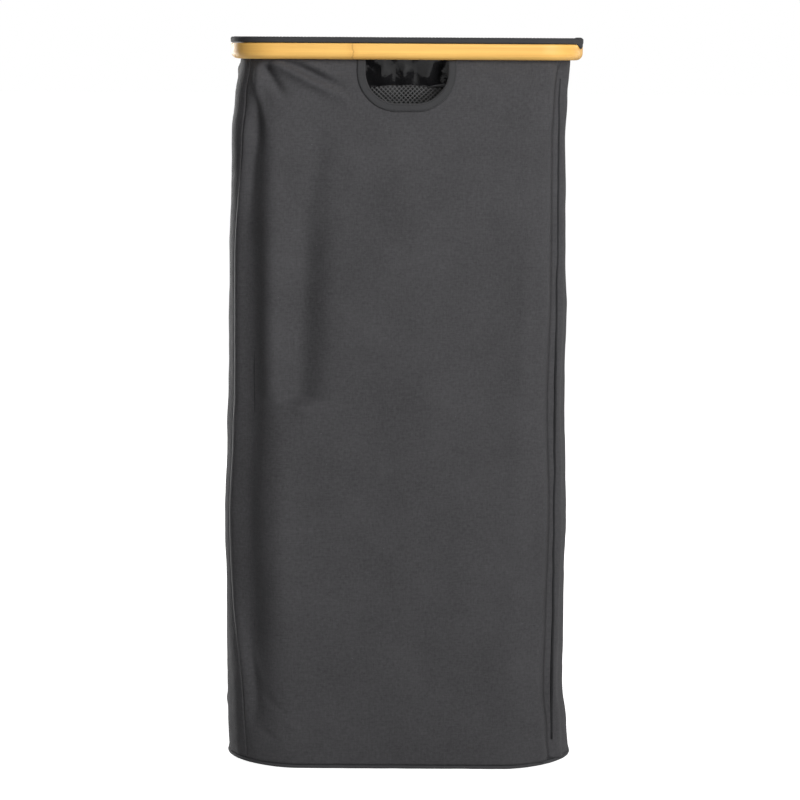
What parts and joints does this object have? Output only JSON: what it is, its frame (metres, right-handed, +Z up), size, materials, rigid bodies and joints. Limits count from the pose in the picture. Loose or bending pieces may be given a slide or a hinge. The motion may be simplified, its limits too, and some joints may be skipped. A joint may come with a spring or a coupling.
{
  "type": "laundry hamper",
  "caption": "Tall square soft laundry hamper: grey cloth walls hung in a bent bamboo rim with cut-out hand grips, a flat hinged lid and a net bag inside.",
  "frame": {"origin": "middle of the underside, on the surface the hamper stands on", "axes": "+Z up; the front, with the grip opening, faces -Y and the lid is hinged at +Y; +X is to the right seen from the front"},
  "size_m": [0.3314, 0.3363, 0.6922],
  "materials": {
    "bamboo": "satin varnish",
    "hoop": "plain",
    "steel": "plain",
    "cloth": "woven, matt",
    "base_cloth": "woven, coated inside",
    "piping": "folded tape",
    "binding": "folded tape, stitched",
    "sleeve": "woven",
    "rod": "plain",
    "cap": "moulded",
    "board": "pressed fibreboard",
    "lining": "coated, glossy",
    "net": "knitted net",
    "hem": "folded tape",
    "band": "smooth and shiny",
    "stud": "dark nickel",
    "tape": "woven tape",
    "lid_cloth": "woven, matt"
  },
  "bodies": {
    "hamper": {"bamboo_rim": "bamboo", "inner_hoop": "hoop", "rim_screws": "steel", "front_panel": "cloth", "right_panel": "cloth", "back_panel": "cloth", "left_panel": "cloth", "base_panel": "base_cloth", "base_piping": "piping", "front_grip_binding": "binding", "back_grip_binding": "binding", "front_left_sleeve": "sleeve", "front_right_sleeve": "sleeve", "back_left_sleeve": "sleeve", "back_right_sleeve": "sleeve", "front_left_rod": "rod", "front_right_rod": "rod", "back_left_rod": "rod", "back_right_rod": "rod", "rod_end_caps": "cap", "base_board": "board", "base_board_cover": "lining", "liner_base": "net", "liner_mesh": "net", "liner_hem": "hem", "liner_band": "band", "liner_studs": "stud", "rim_hinge_tape": "tape"},
    "lid": {"lid_lining": "lining", "lid_board": "board", "lid_top_cloth": "lid_cloth", "lid_edge_binding": "binding", "lid_hinge_tape": "tape"}
  },
  "joints": [
    {"name": "lid_hinge", "type": "hinge", "parent": "hamper", "child": "lid", "pos_m": [0, 0.1718, 0.6872], "axis": [-1, 0, 0], "range_deg": [0, 258]}
  ]
}
